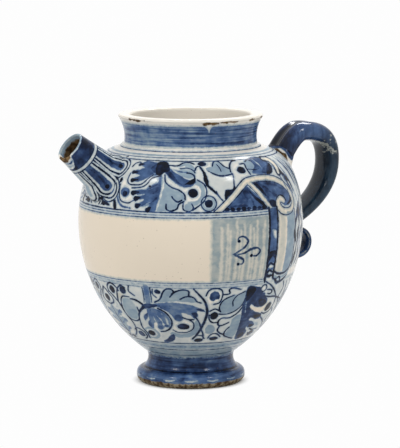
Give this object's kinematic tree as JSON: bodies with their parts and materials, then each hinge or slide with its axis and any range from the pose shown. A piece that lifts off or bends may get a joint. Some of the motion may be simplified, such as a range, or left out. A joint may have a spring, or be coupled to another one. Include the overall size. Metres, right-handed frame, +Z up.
{
  "type": "wet drug jar",
  "caption": "Globular tin-glazed earthenware jar on a spreading foot, with a short neck, a slanted pouring spout and a grooved strap handle that ends in a scroll.",
  "frame": {"origin": "centre of the foot's flat underside, on the jar's axis", "axes": "+Z up the jar's axis, +X towards the handle, so the spout points along -X"},
  "size_m": [0.2384, 0.167, 0.2003],
  "materials": {
    "painted_glaze": "cream tin glaze painted with cobalt blue foliage, bands and strapwork",
    "brushed_blue_glaze": "tin glaze brushed with a blue band under a cream lip",
    "cream_glaze": "bare cream tin glaze",
    "foot_glaze": "dark blue glaze, worn to brown clay at the lower edge",
    "spout_glaze": "dark blue glaze with pale petal panels, chipped at the mouth",
    "dark_blue_glaze": "dark cobalt blue glaze, thin on the edges"
  },
  "bodies": {
    "root": {"belly": "painted_glaze", "neck": "brushed_blue_glaze", "neck_coil": "cream_glaze", "foot": "foot_glaze", "spout": "spout_glaze", "spout_coil": "spout_glaze", "handle": "dark_blue_glaze", "handle_wad": "cream_glaze", "handle_scroll": "dark_blue_glaze"}
  },
  "joints": []
}
